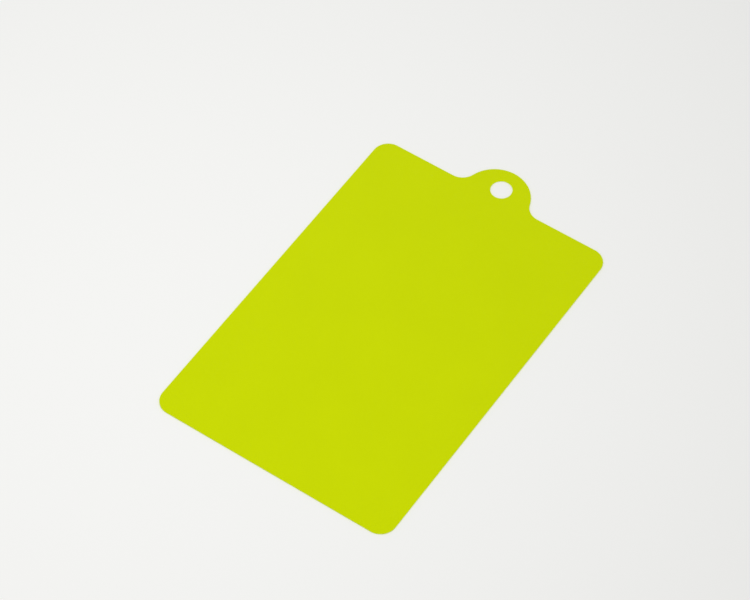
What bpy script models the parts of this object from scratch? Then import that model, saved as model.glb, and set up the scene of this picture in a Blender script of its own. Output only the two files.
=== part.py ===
# A flexible kitchen cutting board, cut with a die from one sheet of polypropylene.
# It lies flat on the worktop. The round tab at its far end is gripped to lift the
# sheet and to bend it into a chute, and the hole in the tab hangs it on a hook.
#
# Metres, +Z up, +Y towards the tab. The origin is on the underside, in the middle of
# the rectangle that encloses the body and its tab.

from math import atan2, ceil, cos, pi, radians, sin, sqrt

import bmesh
import bpy
from mathutils import Vector

# The rectangular body
BODY_WIDTH = 0.189
BODY_LENGTH = 0.2748
CORNER_RADIUS = 0.0118
THICKNESS = 0.001

# The tab is a half circle centred on the body's far edge, with a hollow curve to each side
TAB_RADIUS = 0.0252
TAB_FILLET_RADIUS = 0.0122

# The hole lies nearer to the tab's tip than the tab's centre does
HANGING_HOLE_DIAMETER = 0.0157
HANGING_HOLE_RISE = 0.0082

# The die leaves both rims of the cut edge slightly rounded
EDGE_ROUNDING = 0.00025
EDGE_ROUNDING_SEGMENTS = 2

# Curved outlines are divided into steps of this angle
ARC_STEP = radians(5)

# Worked out from the sizes above
FRONT_EDGE_Y = -(BODY_LENGTH + TAB_RADIUS) / 2
FAR_EDGE_Y = FRONT_EDGE_Y + BODY_LENGTH
TAB_CENTRE = Vector((0, FAR_EDGE_Y))
HOLE_CENTRE = TAB_CENTRE + Vector((0, HANGING_HOLE_RISE))


def clear_scene():
    for thing in list(bpy.data.objects):
        bpy.data.objects.remove(thing)


def plastic(name, colour, roughness):
    """A plain opaque plastic."""
    material = bpy.data.materials.new(name)
    material.use_nodes = True
    shader = material.node_tree.nodes["Principled BSDF"]
    shader.inputs["Base Color"].default_value = (*colour, 1)
    shader.inputs["Roughness"].default_value = roughness
    shader.inputs["Metallic"].default_value = 0
    return material


def arc(centre, radius, start, end):
    """Points on an arc between two angles, with both of its ends and its middle."""
    steps = 2 * ceil(abs(end - start) / ARC_STEP / 2)
    angles = (start + (end - start) * step / steps for step in range(steps + 1))
    return [centre + radius * Vector((cos(angle), sin(angle))) for angle in angles]


def sheet_outline():
    """The cut line, anticlockwise from the front left corner."""
    corner_x = BODY_WIDTH / 2 - CORNER_RADIUS
    front_y = FRONT_EDGE_Y + CORNER_RADIUS
    far_y = FAR_EDGE_Y - CORNER_RADIUS

    # Each hollow curve touches the far edge and the tab, so its centre is one radius
    # beyond the edge and at the sum of the two radii from the tab's centre
    fillet_x = sqrt((TAB_RADIUS + TAB_FILLET_RADIUS) ** 2 - TAB_FILLET_RADIUS ** 2)
    touching_angle = atan2(TAB_FILLET_RADIUS, fillet_x)
    right_fillet = TAB_CENTRE + Vector((fillet_x, TAB_FILLET_RADIUS))
    left_fillet = TAB_CENTRE + Vector((-fillet_x, TAB_FILLET_RADIUS))

    front_left = arc(Vector((-corner_x, front_y)), CORNER_RADIUS, pi, 1.5 * pi)
    front_right = arc(Vector((corner_x, front_y)), CORNER_RADIUS, 1.5 * pi, 2 * pi)
    far_right = arc(Vector((corner_x, far_y)), CORNER_RADIUS, 0, 0.5 * pi)
    right_hollow = arc(right_fillet, TAB_FILLET_RADIUS, 1.5 * pi, pi + touching_angle)
    tab = arc(TAB_CENTRE, TAB_RADIUS, touching_angle, pi - touching_angle)
    left_hollow = arc(left_fillet, TAB_FILLET_RADIUS, -touching_angle, -0.5 * pi)
    far_left = arc(Vector((-corner_x, far_y)), CORNER_RADIUS, 0.5 * pi, pi)

    # The tab's end points are also those of the hollow curves
    return front_left + front_right + far_right + right_hollow + tab[1:-1] + left_hollow + far_left


def extruded(name, outline, bottom, top):
    """An object whose outline is pulled up from one height to another."""
    form = bmesh.new()
    base = form.faces.new([form.verts.new((x, y, bottom)) for x, y in outline])
    pulled = bmesh.ops.extrude_face_region(form, geom=[base])
    lid = [item for item in pulled["geom"] if isinstance(item, bmesh.types.BMVert)]
    bmesh.ops.translate(form, verts=lid, vec=(0, 0, top - bottom))
    bmesh.ops.recalc_face_normals(form, faces=form.faces)

    mesh = bpy.data.meshes.new(name)
    form.to_mesh(mesh)
    form.free()
    mesh.shade_smooth()
    thing = bpy.data.objects.new(name, mesh)
    bpy.context.collection.objects.link(thing)
    return thing


def hole_punch():
    """The round punch of the hanging hole, longer than the sheet is thick."""
    circle = arc(HOLE_CENTRE, HANGING_HOLE_DIAMETER / 2, 0, 2 * pi)[:-1]
    punch = extruded("hanging_hole_punch", circle, -THICKNESS, 2 * THICKNESS)
    punch.display_type = "WIRE"
    punch.hide_render = True
    return punch


def cutting_sheet():
    """The whole board: the sheet, its punched hole and its rounded rims."""
    sheet = extruded("cutting_sheet", sheet_outline(), 0, THICKNESS)
    sheet.data.materials.append(plastic("lime_polypropylene", (0.578, 0.694, 0.001), 0.45))

    hole = sheet.modifiers.new("hanging_hole", "BOOLEAN")
    hole.operation = "DIFFERENCE"
    hole.object = hole_punch()

    # Two rims share the wall between them, so neither may take half of it
    rims = sheet.modifiers.new("rounded_rims", "BEVEL")
    rims.width = min(EDGE_ROUNDING, 0.4 * THICKNESS)
    rims.segments = EDGE_ROUNDING_SEGMENTS
    rims.limit_method = "ANGLE"
    rims.angle_limit = radians(45)
    rims.use_clamp_overlap = False
    rims.harden_normals = True
    return sheet


clear_scene()
cutting_sheet()
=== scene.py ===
# A flexible kitchen cutting board in lime green polypropylene, lying on a pale floor.

import math

import bpy
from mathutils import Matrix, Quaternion, Vector


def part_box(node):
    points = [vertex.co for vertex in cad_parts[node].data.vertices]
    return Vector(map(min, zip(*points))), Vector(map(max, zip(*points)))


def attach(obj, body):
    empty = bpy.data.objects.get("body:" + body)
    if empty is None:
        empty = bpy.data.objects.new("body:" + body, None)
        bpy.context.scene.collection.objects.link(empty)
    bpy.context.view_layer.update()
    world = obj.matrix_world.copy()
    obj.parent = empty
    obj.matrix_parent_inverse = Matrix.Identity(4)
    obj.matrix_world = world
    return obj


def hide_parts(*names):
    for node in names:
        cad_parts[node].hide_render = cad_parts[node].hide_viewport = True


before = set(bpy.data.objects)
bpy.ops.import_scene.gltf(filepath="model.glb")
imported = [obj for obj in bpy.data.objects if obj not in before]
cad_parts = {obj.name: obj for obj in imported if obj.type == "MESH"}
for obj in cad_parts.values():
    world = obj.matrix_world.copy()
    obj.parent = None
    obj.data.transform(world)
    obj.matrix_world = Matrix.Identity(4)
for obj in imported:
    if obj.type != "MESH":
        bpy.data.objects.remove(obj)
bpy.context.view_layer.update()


# The sheet
# One sheet of polypropylene, cut with a die that takes the outline and the hanging
# hole in one stroke. The blade rounds the upper rim of the cut a little more than
# the lower one, and leaves fine upright marks on the wall between them.

# The tab is a half circle centred on the body's far edge, with a hollow curve to each
# side. The hole lies nearer to the tab's tip than that centre does, by its rise.
sheet_low, sheet_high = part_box("cutting_sheet")
BODY_WIDTH = sheet_high.x - sheet_low.x
THICKNESS = sheet_high.z - sheet_low.z
CORNER_RADIUS = 0.0118
TAB_RADIUS = 0.0252
HOLLOW_RADIUS = 0.0122
HOLE_RADIUS = 0.00785
HOLE_RISE = 0.0082
UPPER_RIM_RADIUS = 0.00025
LOWER_RIM_RADIUS = 0.00015
FAR_EDGE_Y = sheet_high.y - TAB_RADIUS

# The swept edge reaches this far onto both faces
FACE_MARGIN = 0.0006
# Straight pieces in the arc of each corner, round the hole and in each rim
CORNER_STEPS = 48
HOLE_STEPS = 120
RIM_STEPS = 5
# Points closer together than this are one point
WELD_DISTANCE = 0.000002
# The blade made every surface whose normal stands less upright than this
FLATTEST_CUT = 0.98


def feed(tree, socket, value):
    """Sets a socket to a constant, or links another node's output to it."""
    if isinstance(value, bpy.types.NodeSocket):
        tree.links.new(value, socket)
    else:
        socket.default_value = value


def add(tree, kind, inputs=(), **properties):
    """A new node with its inputs fed, each given as a socket and a value."""
    made = tree.nodes.new(kind)
    for name, setting in properties.items():
        setattr(made, name, setting)
    for socket, value in inputs:
        feed(tree, made.inputs[socket], value)
    return made


def maths(tree, operation, *numbers):
    """The result of one Math node."""
    return add(tree, "ShaderNodeMath", enumerate(numbers), operation=operation).outputs[0]


def vector_maths(tree, operation, *vectors):
    """The resulting vector of one Vector Math node."""
    made = add(tree, "ShaderNodeVectorMath", enumerate(vectors), operation=operation)
    return made.outputs[0]


def point(tree, x, y):
    """A point in the plane of a drawn line."""
    return add(tree, "ShaderNodeCombineXYZ", [("X", x), ("Y", y)]).outputs[0]


def by_corner(tree, data_type, values):
    """A field that takes each value in turn along a line's corners."""
    switch = tree.nodes.new("GeometryNodeIndexSwitch")
    switch.data_type = data_type
    while len(switch.index_switch_items) < len(values):
        switch.index_switch_items.new()
    tree.links.new(add(tree, "GeometryNodeInputIndex").outputs[0], switch.inputs["Index"])
    # The first socket is the index itself
    for number, value in enumerate(values, start=1):
        feed(tree, switch.inputs[number], value)
    return switch.outputs[0]


def rounded_line(tree, corners, radii, steps, closed):
    """A curve through corners, with an arc of its own radius in place of each."""
    line = add(tree, "GeometryNodeMeshLine", [("Count", len(corners))])
    curve = add(tree, "GeometryNodeMeshToCurve", [("Mesh", line.outputs[0])])
    placed = add(
        tree,
        "GeometryNodeSetPosition",
        [("Geometry", curve.outputs[0]), ("Position", by_corner(tree, "VECTOR", corners))],
    )
    joined = add(
        tree,
        "GeometryNodeSetSplineCyclic",
        [("Geometry", placed.outputs[0]), ("Cyclic", closed)],
    )
    rounded = add(
        tree,
        "GeometryNodeFilletCurve",
        [
            ("Curve", joined.outputs[0]),
            ("Count", steps),
            ("Radius", by_corner(tree, "FLOAT", radii)),
            ("Limit Radius", False),
        ],
        mode="POLY",
    )
    return rounded.outputs[0]


SHEET_INPUTS = {
    "Body Width": BODY_WIDTH,
    "Front Edge": sheet_low.y,
    "Far Edge": FAR_EDGE_Y,
    "Thickness": THICKNESS,
    "Corner Radius": CORNER_RADIUS,
    "Tab Radius": TAB_RADIUS,
    "Hollow Radius": HOLLOW_RADIUS,
    "Hole Radius": HOLE_RADIUS,
    "Hole Rise": HOLE_RISE,
    "Upper Rim Radius": UPPER_RIM_RADIUS,
    "Lower Rim Radius": LOWER_RIM_RADIUS,
}


def cut_line(tree, size):
    """The outline, as seven corners that are each rounded with a radius of their own.

    The sides of the tab are the two lines that touch both the half circle and the
    hollow beside it. They would meet in a peak far beyond the tab, and the half
    circle rounds that peak off.
    """
    right = maths(tree, "MULTIPLY", size["Body Width"], 0.5)
    left = maths(tree, "MULTIPLY", size["Body Width"], -0.5)
    front, far = size["Front Edge"], size["Far Edge"]
    tab, hollow = size["Tab Radius"], size["Hollow Radius"]

    both = maths(tree, "ADD", tab, hollow)
    across = maths(
        tree,
        "SQRT",
        maths(
            tree,
            "SUBTRACT",
            maths(tree, "MULTIPLY", both, both),
            maths(tree, "MULTIPLY", hollow, hollow),
        ),
    )
    foot = maths(tree, "DIVIDE", maths(tree, "MULTIPLY", tab, both), across)
    other_foot = maths(tree, "MULTIPLY", foot, -1.0)
    peak_rise = maths(tree, "DIVIDE", maths(tree, "MULTIPLY", tab, both), hollow)
    peak = maths(tree, "ADD", far, peak_rise)

    corner = size["Corner Radius"]
    corners = [
        point(tree, left, front),
        point(tree, right, front),
        point(tree, right, far),
        point(tree, foot, far),
        point(tree, 0.0, peak),
        point(tree, other_foot, far),
        point(tree, left, far),
    ]
    radii = [corner, corner, corner, hollow, tab, hollow, corner]
    outline = rounded_line(tree, corners, radii, CORNER_STEPS, True)

    # The half circle and each hollow share an end point, which is welded into one
    wire = add(tree, "GeometryNodeCurveToMesh", [("Curve", outline)])
    welded = add(
        tree,
        "GeometryNodeMergeByDistance",
        [("Geometry", wire.outputs[0]), ("Distance", WELD_DISTANCE)],
    )
    return add(tree, "GeometryNodeMeshToCurve", [("Mesh", welded.outputs[0])]).outputs[0]


def hole_line(tree, size):
    """The hanging hole, run the other way round, so that the plastic stays on its left."""
    circle = add(
        tree,
        "GeometryNodeCurvePrimitiveCircle",
        [("Resolution", HOLE_STEPS), ("Radius", size["Hole Radius"])],
    )
    centre = point(tree, 0.0, maths(tree, "ADD", size["Far Edge"], size["Hole Rise"]))
    moved = add(
        tree,
        "GeometryNodeTransform",
        [("Geometry", circle.outputs[0]), ("Translation", centre)],
    )
    return add(tree, "GeometryNodeReverseCurve", [("Curve", moved.outputs[0])]).outputs[0]


def keep(tree, geometry, name, value, data_type="FLOAT_VECTOR", domain="POINT"):
    """The geometry, with a value kept under a name."""
    return add(
        tree,
        "GeometryNodeStoreNamedAttribute",
        [("Geometry", geometry), ("Name", name), ("Value", value)],
        data_type=data_type,
        domain=domain,
    ).outputs[0]


def kept(tree, name, data_type="FLOAT_VECTOR"):
    """The value that was kept under a name."""
    return add(
        tree,
        "GeometryNodeInputNamedAttribute",
        [("Name", name)],
        data_type=data_type,
    ).outputs[0]


# The sheet's own map, which has this name. The faces lie side by side on it, the underside
# mirrored, and the edge is unfolded round the cutting face, with its wall drawn wider than it
# is.
MAP_NAME = "OFBake"
MAP_MARGIN = 0.006
MAP_SIDE = 2 * BODY_WIDTH + 3 * MAP_MARGIN
CUTTING_FACE_ON_MAP = (MAP_MARGIN + BODY_WIDTH / 2, MAP_SIDE / 2, 0.0)
UNDERSIDE_ON_MAP = (MAP_SIDE - MAP_MARGIN - BODY_WIDTH / 2, MAP_SIDE / 2, 0.0)
WALL_WIDENED = 3.0


def edge_unfolded(tree):
    """Where each point of the swept edge lies once the edge is folded out flat."""
    # The way round the section starts on the cutting face, a margin short of the cut line
    past_line = maths(tree, "SUBTRACT", kept(tree, "way_round", "FLOAT"), FACE_MARGIN)
    wall_only = maths(tree, "MAXIMUM", past_line, 0.0)
    added_width = maths(tree, "MULTIPLY", wall_only, WALL_WIDENED - 1.0)
    distance = maths(tree, "ADD", past_line, added_width)
    return vector_maths(
        tree, "MULTIPLY_ADD", kept(tree, "way_out"), distance, kept(tree, "place_on_cut")
    )


def mapped(tree, geometry, flat_place, middle):
    """The geometry laid out on the map, at flat places round a middle of its own."""
    on_map = vector_maths(tree, "ADD", flat_place, middle)
    share = vector_maths(tree, "DIVIDE", on_map, (MAP_SIDE,) * 3)
    return keep(tree, geometry, MAP_NAME, share, "FLOAT2", "CORNER")


def sheet_tree():
    """Sweeps the section of the cut edge along both cut lines, and closes the two faces."""
    tree = bpy.data.node_groups.new("Die-cut sheet", "GeometryNodeTree")
    for name in SHEET_INPUTS:
        tree.interface.new_socket(name=name, in_out="INPUT", socket_type="NodeSocketFloat")
    for name in ("Face Material", "Edge Material"):
        tree.interface.new_socket(name=name, in_out="INPUT", socket_type="NodeSocketMaterial")
    tree.interface.new_socket(name="Sheet", in_out="OUTPUT", socket_type="NodeSocketGeometry")
    given = add(tree, "NodeGroupInput").outputs

    lines = add(tree, "GeometryNodeJoinGeometry")
    tree.links.new(cut_line(tree, given), lines.inputs[0])
    tree.links.new(hole_line(tree, given), lines.inputs[0])
    # Every point of the edge will keep the place on the cut line that it is swept from,
    # and the way out of the plastic there
    place = add(tree, "GeometryNodeInputPosition").outputs[0]
    outward = add(tree, "GeometryNodeInputNormal").outputs["Normal"]
    cuts = keep(tree, lines.outputs[0], "place_on_cut", place)
    cuts = keep(tree, cuts, "way_out", outward)

    # The section of the edge, drawn with X out of the plastic and Y down. It reaches
    # a little way onto both faces.
    onto_face = -FACE_MARGIN
    upper = maths(tree, "MULTIPLY", given["Thickness"], -1.0)
    section = rounded_line(
        tree,
        [
            point(tree, onto_face, upper),
            point(tree, 0.0, upper),
            point(tree, 0.0, 0.0),
            point(tree, onto_face, 0.0),
        ],
        [0.0, given["Upper Rim Radius"], given["Lower Rim Radius"], 0.0],
        RIM_STEPS,
        False,
    )
    way_round = add(tree, "GeometryNodeSplineParameter").outputs["Length"]
    section = keep(tree, section, "way_round", way_round, "FLOAT")
    edge = add(
        tree,
        "GeometryNodeCurveToMesh",
        [("Curve", cuts), ("Profile Curve", section)],
    ).outputs[0]

    # The two faces end where the section ends
    inset = add(
        tree,
        "GeometryNodeSetPosition",
        [
            ("Geometry", cuts),
            ("Offset", vector_maths(tree, "MULTIPLY", outward, (onto_face,) * 3)),
        ],
    ).outputs[0]
    face = add(tree, "GeometryNodeFillCurve", [("Curve", inset)], mode="TRIANGLES").outputs[0]
    underside = add(tree, "GeometryNodeFlipFaces", [("Mesh", face)]).outputs[0]
    lift = add(tree, "ShaderNodeCombineXYZ", [("Z", given["Thickness"])]).outputs[0]
    cutting_face = add(
        tree,
        "GeometryNodeTransform",
        [("Geometry", face), ("Translation", lift)],
    ).outputs[0]

    mirrored = vector_maths(tree, "MULTIPLY", place, (-1.0, 1.0, 1.0))
    parts = add(tree, "GeometryNodeJoinGeometry")
    for part, flat_place, middle in (
        (edge, edge_unfolded(tree), CUTTING_FACE_ON_MAP),
        (underside, mirrored, UNDERSIDE_ON_MAP),
        (cutting_face, place, CUTTING_FACE_ON_MAP),
    ):
        tree.links.new(mapped(tree, part, flat_place, middle), parts.inputs[0])
    closed = add(
        tree,
        "GeometryNodeMergeByDistance",
        [("Geometry", parts.outputs[0]), ("Distance", WELD_DISTANCE)],
    ).outputs[0]
    smooth = add(tree, "GeometryNodeSetShadeSmooth", [("Geometry", closed)]).outputs[0]

    # The wall and the rims are cut plastic, and the flat faces are embossed
    facing = add(tree, "GeometryNodeInputNormal").outputs["Normal"]
    upright = add(tree, "ShaderNodeSeparateXYZ", [("Vector", facing)]).outputs["Z"]
    steepness = maths(tree, "ABSOLUTE", upright)
    is_cut = add(
        tree,
        "FunctionNodeCompare",
        [("A", steepness), ("B", FLATTEST_CUT)],
        operation="LESS_THAN",
    ).outputs[0]
    whole = add(tree, "GeometryNodeRealizeInstances", [("Geometry", smooth)]).outputs[0]
    faced = add(
        tree,
        "GeometryNodeSetMaterial",
        [("Geometry", whole), ("Material", given["Face Material"])],
    ).outputs[0]
    edged = add(
        tree,
        "GeometryNodeSetMaterial",
        [("Geometry", faced), ("Selection", is_cut), ("Material", given["Edge Material"])],
    ).outputs[0]

    result = add(tree, "NodeGroupOutput")
    tree.links.new(edged, result.inputs[0])
    return tree


# The faces vary between the first two colours, deeper as painted shade in the emboss's
# hollows, and the wall and rims between the others, made paler with painted glow
PALER_LIME = (0.628, 0.749, 0.0, 1.0)
DEEPER_LIME = (0.538, 0.648, 0.0, 1.0)
# The wall and rims are paler than the faces with painted glow, in place of light coming
# through the plastic, and the blade's marks vary between these two
GLOWING_WALL_LIME = (0.63, 0.745, 0.0, 1.0)
GLOWING_MARK_LIME = (0.69, 0.805, 0.004, 1.0)

# Set on the shader's own sockets, for the faces and the cut edge alike
POLYPROPYLENE = {
    "IOR": 1.49,
    "Specular IOR Level": 0.3,
    "Specular Tint": (0.82, 0.98, 0.0, 1.0),
}
SMOOTHEST, ROUGHEST = 0.40, 0.48
CUT_ROUGHNESS = 0.32

# A scale is in cells per metre. A height is that of one whole unit of noise, of which
# about a third shows.
CLOUD_SCALE, CLOUD_DETAIL = 22.0, 3.0
WAVE_SCALE, WAVE_DETAIL, WAVE_HEIGHT = 38.0, 1.0, 0.00008
PEBBLE_SCALE, PEBBLE_DETAIL, PEBBLE_HEIGHT = 1900.0, 2.0, 0.00012
MARK_SCALE, MARK_DETAIL, MARK_HEIGHT = 3500.0, 2.0, 0.00003
# How much of the faces' colour follows the emboss, as painted shade in its hollows; the rest
# follows the uneven pigment
HOLLOW_SHADE_SHARE = 0.65

# Nearly all of a noise lies between these two values
NOISE_LOW, NOISE_HIGH = 0.35, 0.65


def add_shader(material, constants):
    """A material's node tree and its Principled node, with constants on its own sockets."""
    material.use_nodes = True
    shader = material.node_tree.nodes["Principled BSDF"]
    for name, value in constants.items():
        shader.inputs[name].default_value = value
    return material.node_tree, shader


def noise(tree, place, scale, detail):
    """A smooth random value at a place."""
    return add(
        tree,
        "ShaderNodeTexNoise",
        [("Vector", place), ("Scale", scale), ("Detail", detail)],
    ).outputs["Fac"]


def stretched(tree, noise_value):
    """A noise that runs from 0 to 1 instead of keeping near its middle."""
    return add(
        tree,
        "ShaderNodeMapRange",
        [("Value", noise_value), ("From Min", NOISE_LOW), ("From Max", NOISE_HIGH)],
    ).outputs[0]


def mixed(tree, data_type, share, first, second):
    """A number or a colour on the way from the first to the second."""
    made = add(tree, "ShaderNodeMix", data_type=data_type)
    # The node has sockets for every type, and only those of its own type are enabled
    sockets = [socket for socket in made.inputs if socket.enabled]
    for socket, value in zip(sockets, (share, first, second)):
        feed(tree, socket, value)
    return next(socket for socket in made.outputs if socket.enabled)


def relief(tree, noise_value, height, onto=None):
    """The normals of a surface that a noise raises, which may already have a relief."""
    bump = add(tree, "ShaderNodeBump", [("Height", noise_value), ("Distance", height)])
    if onto is not None:
        tree.links.new(onto, bump.inputs["Normal"])
    return bump.outputs[0]


def embossed_plastic():
    """The two faces: satin plastic with a shallow pebbled emboss, on a slightly wavy sheet."""
    material = bpy.data.materials.new("embossed_lime_polypropylene")
    tree, shader = add_shader(material, POLYPROPYLENE)
    place = add(tree, "ShaderNodeTexCoord").outputs["Object"]
    clouds = noise(tree, place, CLOUD_SCALE, CLOUD_DETAIL)
    pebbles = noise(tree, place, PEBBLE_SCALE, PEBBLE_DETAIL)
    waves = noise(tree, place, WAVE_SCALE, WAVE_DETAIL)

    # The pigment isn't spread quite evenly in the melt, and the hollows of the emboss are
    # darkened with painted shade
    shade = mixed(tree, "FLOAT", HOLLOW_SHADE_SHARE, clouds, stretched(tree, pebbles))
    colour = mixed(tree, "RGBA", shade, DEEPER_LIME, PALER_LIME)
    tree.links.new(colour, shader.inputs["Base Color"])

    roughness = mixed(tree, "FLOAT", clouds, SMOOTHEST, ROUGHEST)
    tree.links.new(roughness, shader.inputs["Roughness"])

    waved = relief(tree, waves, WAVE_HEIGHT)
    pebbled = relief(tree, pebbles, PEBBLE_HEIGHT, onto=waved)
    tree.links.new(pebbled, shader.inputs["Normal"])
    return material


def cut_plastic():
    """The wall and the rims, which the blade leaves glossier and marked across, made paler
    with painted glow.
    """
    material = bpy.data.materials.new("die_cut_lime_polypropylene")
    tree, shader = add_shader(material, POLYPROPYLENE | {"Roughness": CUT_ROUGHNESS})
    place = add(tree, "ShaderNodeAttribute", attribute_name="place_on_cut").outputs["Vector"]
    marks = noise(tree, place, MARK_SCALE, MARK_DETAIL)

    # Paler than the faces as painted glow, with the blade's marks running between the two
    # colours
    colour = mixed(tree, "RGBA", stretched(tree, marks), GLOWING_WALL_LIME, GLOWING_MARK_LIME)
    tree.links.new(colour, shader.inputs["Base Color"])
    tree.links.new(relief(tree, marks, MARK_HEIGHT), shader.inputs["Normal"])
    return material


def made_by(tree, name, inputs):
    """An object with the plain mesh that a tree makes from its named inputs."""
    made = bpy.data.objects.new(name, bpy.data.meshes.new(name))
    bpy.context.scene.collection.objects.link(made)
    modifier = made.modifiers.new("Die", "NODES")
    modifier.node_group = tree
    for socket in tree.interface.items_tree:
        if socket.in_out == "INPUT":
            modifier[socket.identifier] = inputs[socket.name]
    evaluated = made.evaluated_get(bpy.context.evaluated_depsgraph_get())
    mesh = bpy.data.meshes.new_from_object(evaluated)
    made.modifiers.remove(modifier)
    made.data = mesh
    return made


sheet = made_by(
    sheet_tree(),
    "lime_cutting_sheet",
    SHEET_INPUTS | {"Face Material": embossed_plastic(), "Edge Material": cut_plastic()},
)
# Set Material leaves an empty first slot
sheet.data.materials.pop(index=0)
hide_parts("cutting_sheet")
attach(sheet, "root")


# The floor
# A wide pale floor. Further out than the light reaches, it turns into the plain
# pale colour that stands behind the sheet from every side.

FLOOR_RADIUS = 8.0
FLOOR_SIDES = 96
DULL_PAPER = {
    "Base Color": (0.915, 0.915, 0.898, 1.0),
    "Roughness": 0.9,
    "Specular IOR Level": 0.0,
}
BACKDROP_COLOUR = (0.86, 0.86, 0.85, 1.0)
FLOOR_FADES_FROM = 0.36
FLOOR_FADES_TO = 0.9


def seen_rays(tree):
    """1 for a ray from the camera or off a glossy or clear surface, and 0 for the others."""
    path = add(tree, "ShaderNodeLightPath").outputs
    reflected = maths(tree, "MAXIMUM", path["Is Glossy Ray"], path["Is Transmission Ray"])
    return maths(tree, "MAXIMUM", path["Is Camera Ray"], reflected)


def fading_paper():
    """Dull paper near the sheet, and far from it a plain colour that no lamp reaches."""
    material = bpy.data.materials.new("pale_paper")
    tree, shader = add_shader(material, DULL_PAPER)
    place = add(tree, "ShaderNodeTexCoord").outputs["Object"]
    away = add(tree, "ShaderNodeVectorMath", [(0, place)], operation="LENGTH").outputs["Value"]
    fade = add(
        tree,
        "ShaderNodeMapRange",
        [("Value", away), ("From Min", FLOOR_FADES_FROM), ("From Max", FLOOR_FADES_TO)],
        interpolation_type="SMOOTHSTEP",
    ).outputs[0]
    plain = add(tree, "ShaderNodeEmission", [("Color", BACKDROP_COLOUR)]).outputs[0]
    share = maths(tree, "MULTIPLY", fade, seen_rays(tree))
    # The two shader sockets have one name, so they are fed by number
    either = add(
        tree,
        "ShaderNodeMixShader",
        [("Fac", share), (1, shader.outputs[0]), (2, plain)],
    ).outputs[0]
    tree.links.new(either, tree.nodes["Material Output"].inputs["Surface"])
    return material


def pale_floor():
    """A wide disc that the sheet lies on."""
    bpy.ops.mesh.primitive_circle_add(
        vertices=FLOOR_SIDES, radius=FLOOR_RADIUS, fill_type="NGON", location=(0, 0, 0)
    )
    floor = bpy.context.object
    floor.name = "pale_floor"
    floor.data.materials.append(fading_paper())
    return floor


pale_floor()


# The light
# One large soft lamp hangs above the sheet, turned towards its left side, and the
# pale room fills in from all round.

LAMP_PLACE = Vector((-0.01, -0.11, 1.14))
LAMP_AIM = Vector((-0.611, -0.109, -0.784))
LAMP_SIZE = 0.7
LAMP_POWER = 5.5
ROOM_LIGHT = 0.656
WHITE = (1.0, 1.0, 1.0, 1.0)

lamp_data = bpy.data.lights.new("soft_lamp", "AREA")
lamp_data.shape = "DISK"
lamp_data.size = LAMP_SIZE
lamp_data.energy = LAMP_POWER
lamp = bpy.data.objects.new("soft_lamp", lamp_data)
lamp.location = LAMP_PLACE
lamp.rotation_mode = "QUATERNION"
lamp.rotation_quaternion = LAMP_AIM.to_track_quat("-Z", "Y")
bpy.context.scene.collection.objects.link(lamp)

world = bpy.data.worlds.new("pale_room")
bpy.context.scene.world = world
world.use_nodes = True
room = world.node_tree
glow = room.nodes["Background"]
glow.inputs["Color"].default_value = WHITE
glow.inputs["Strength"].default_value = ROOM_LIGHT
backdrop = add(room, "ShaderNodeBackground", [("Color", BACKDROP_COLOUR)])
either = add(
    room,
    "ShaderNodeMixShader",
    [("Fac", seen_rays(room)), (1, glow.outputs[0]), (2, backdrop.outputs[0])],
).outputs[0]
room.links.new(either, room.nodes["World Output"].inputs["Surface"])


# The camera
# It looks down from the front right through a long lens, from two metres away, and it
# is held very slightly crooked.

LOOKED_AT = Vector((-0.01986, 0.00487, 0.0))
AZIMUTH = math.radians(35.171)
ELEVATION = math.radians(54.191)
ROLL = math.radians(-0.911)
DISTANCE = 2.115
LENS_MM = 148.12

back = Vector(
    (
        math.sin(AZIMUTH) * math.cos(ELEVATION),
        -math.cos(AZIMUTH) * math.cos(ELEVATION),
        math.sin(ELEVATION),
    )
)
camera_data = bpy.data.cameras.new("camera")
camera_data.lens = LENS_MM
camera = bpy.data.objects.new("camera", camera_data)
camera.location = LOOKED_AT + DISTANCE * back
camera.rotation_mode = "QUATERNION"
camera.rotation_quaternion = (-back).to_track_quat("-Z", "Y") @ Quaternion((0, 0, 1), ROLL)
bpy.context.scene.collection.objects.link(camera)
bpy.context.scene.camera = camera

bpy.context.scene.view_settings.view_transform = "Standard"
